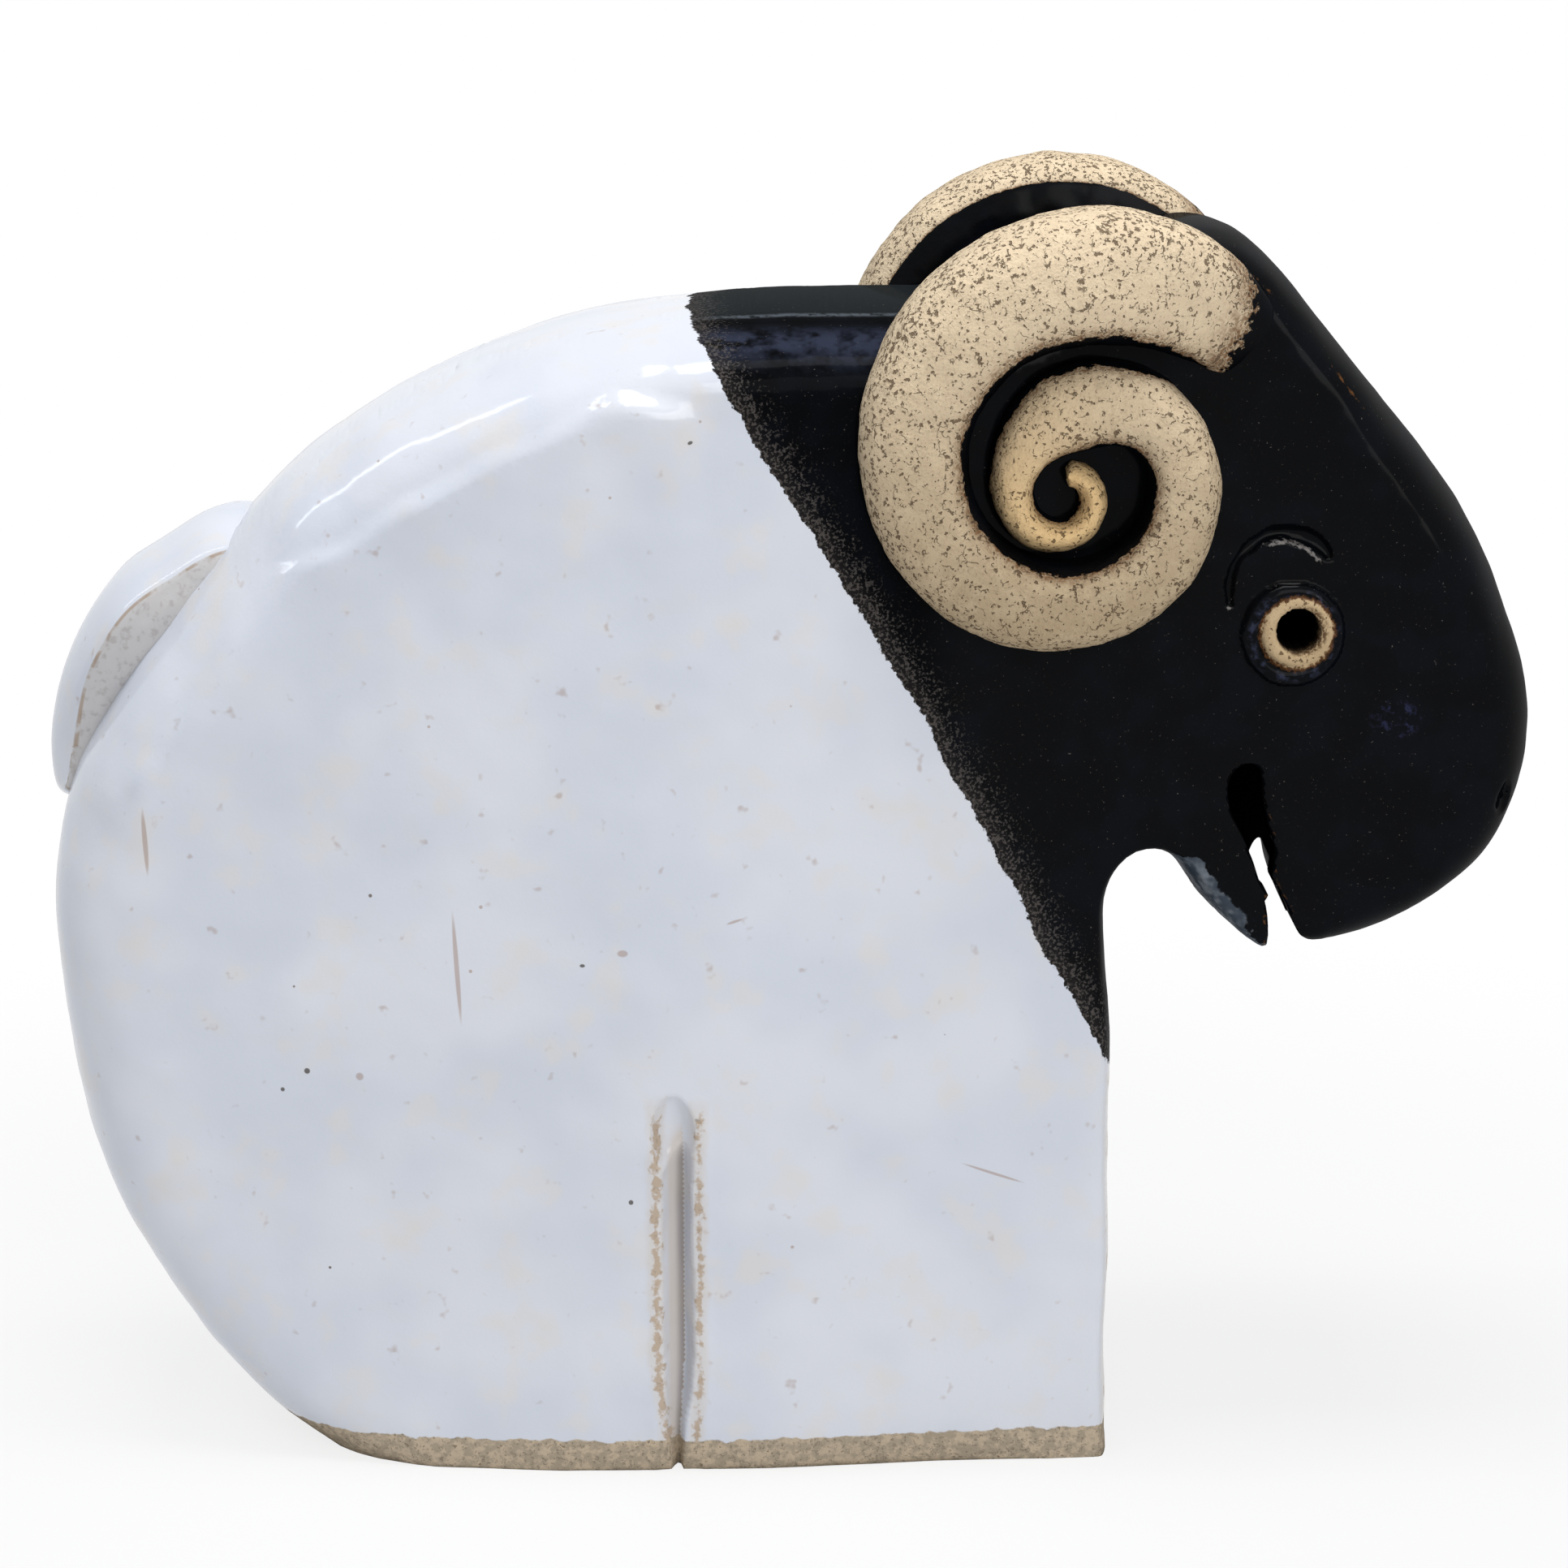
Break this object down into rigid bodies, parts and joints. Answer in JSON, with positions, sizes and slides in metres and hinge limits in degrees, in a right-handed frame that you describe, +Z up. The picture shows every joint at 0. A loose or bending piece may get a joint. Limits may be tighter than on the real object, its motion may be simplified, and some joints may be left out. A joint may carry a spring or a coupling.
{
  "type": "ram figurine",
  "caption": "Hand-built stoneware ram figurine: a flat cushion-edged body on a flat foot, a low-hung head, raised spiral horns and a slotted mouth.",
  "frame": {"origin": "middle of the length and width, on the surface that the foot stands on", "axes": "+X towards the muzzle, +Y towards the far side, +Z up"},
  "size_m": [0.1794, 0.068, 0.1538],
  "materials": {
    "white_glaze": "glossy cool white glaze on stoneware, with pinholes and iron specks",
    "black_glaze": "satin blue-black glaze on stoneware, speckled along its edge",
    "bare_clay": "unglazed sandy grogged clay, pitted and cracked, scorched at its edges"
  },
  "bodies": {
    "root": {"ram": "white_glaze"}
  },
  "joints": []
}
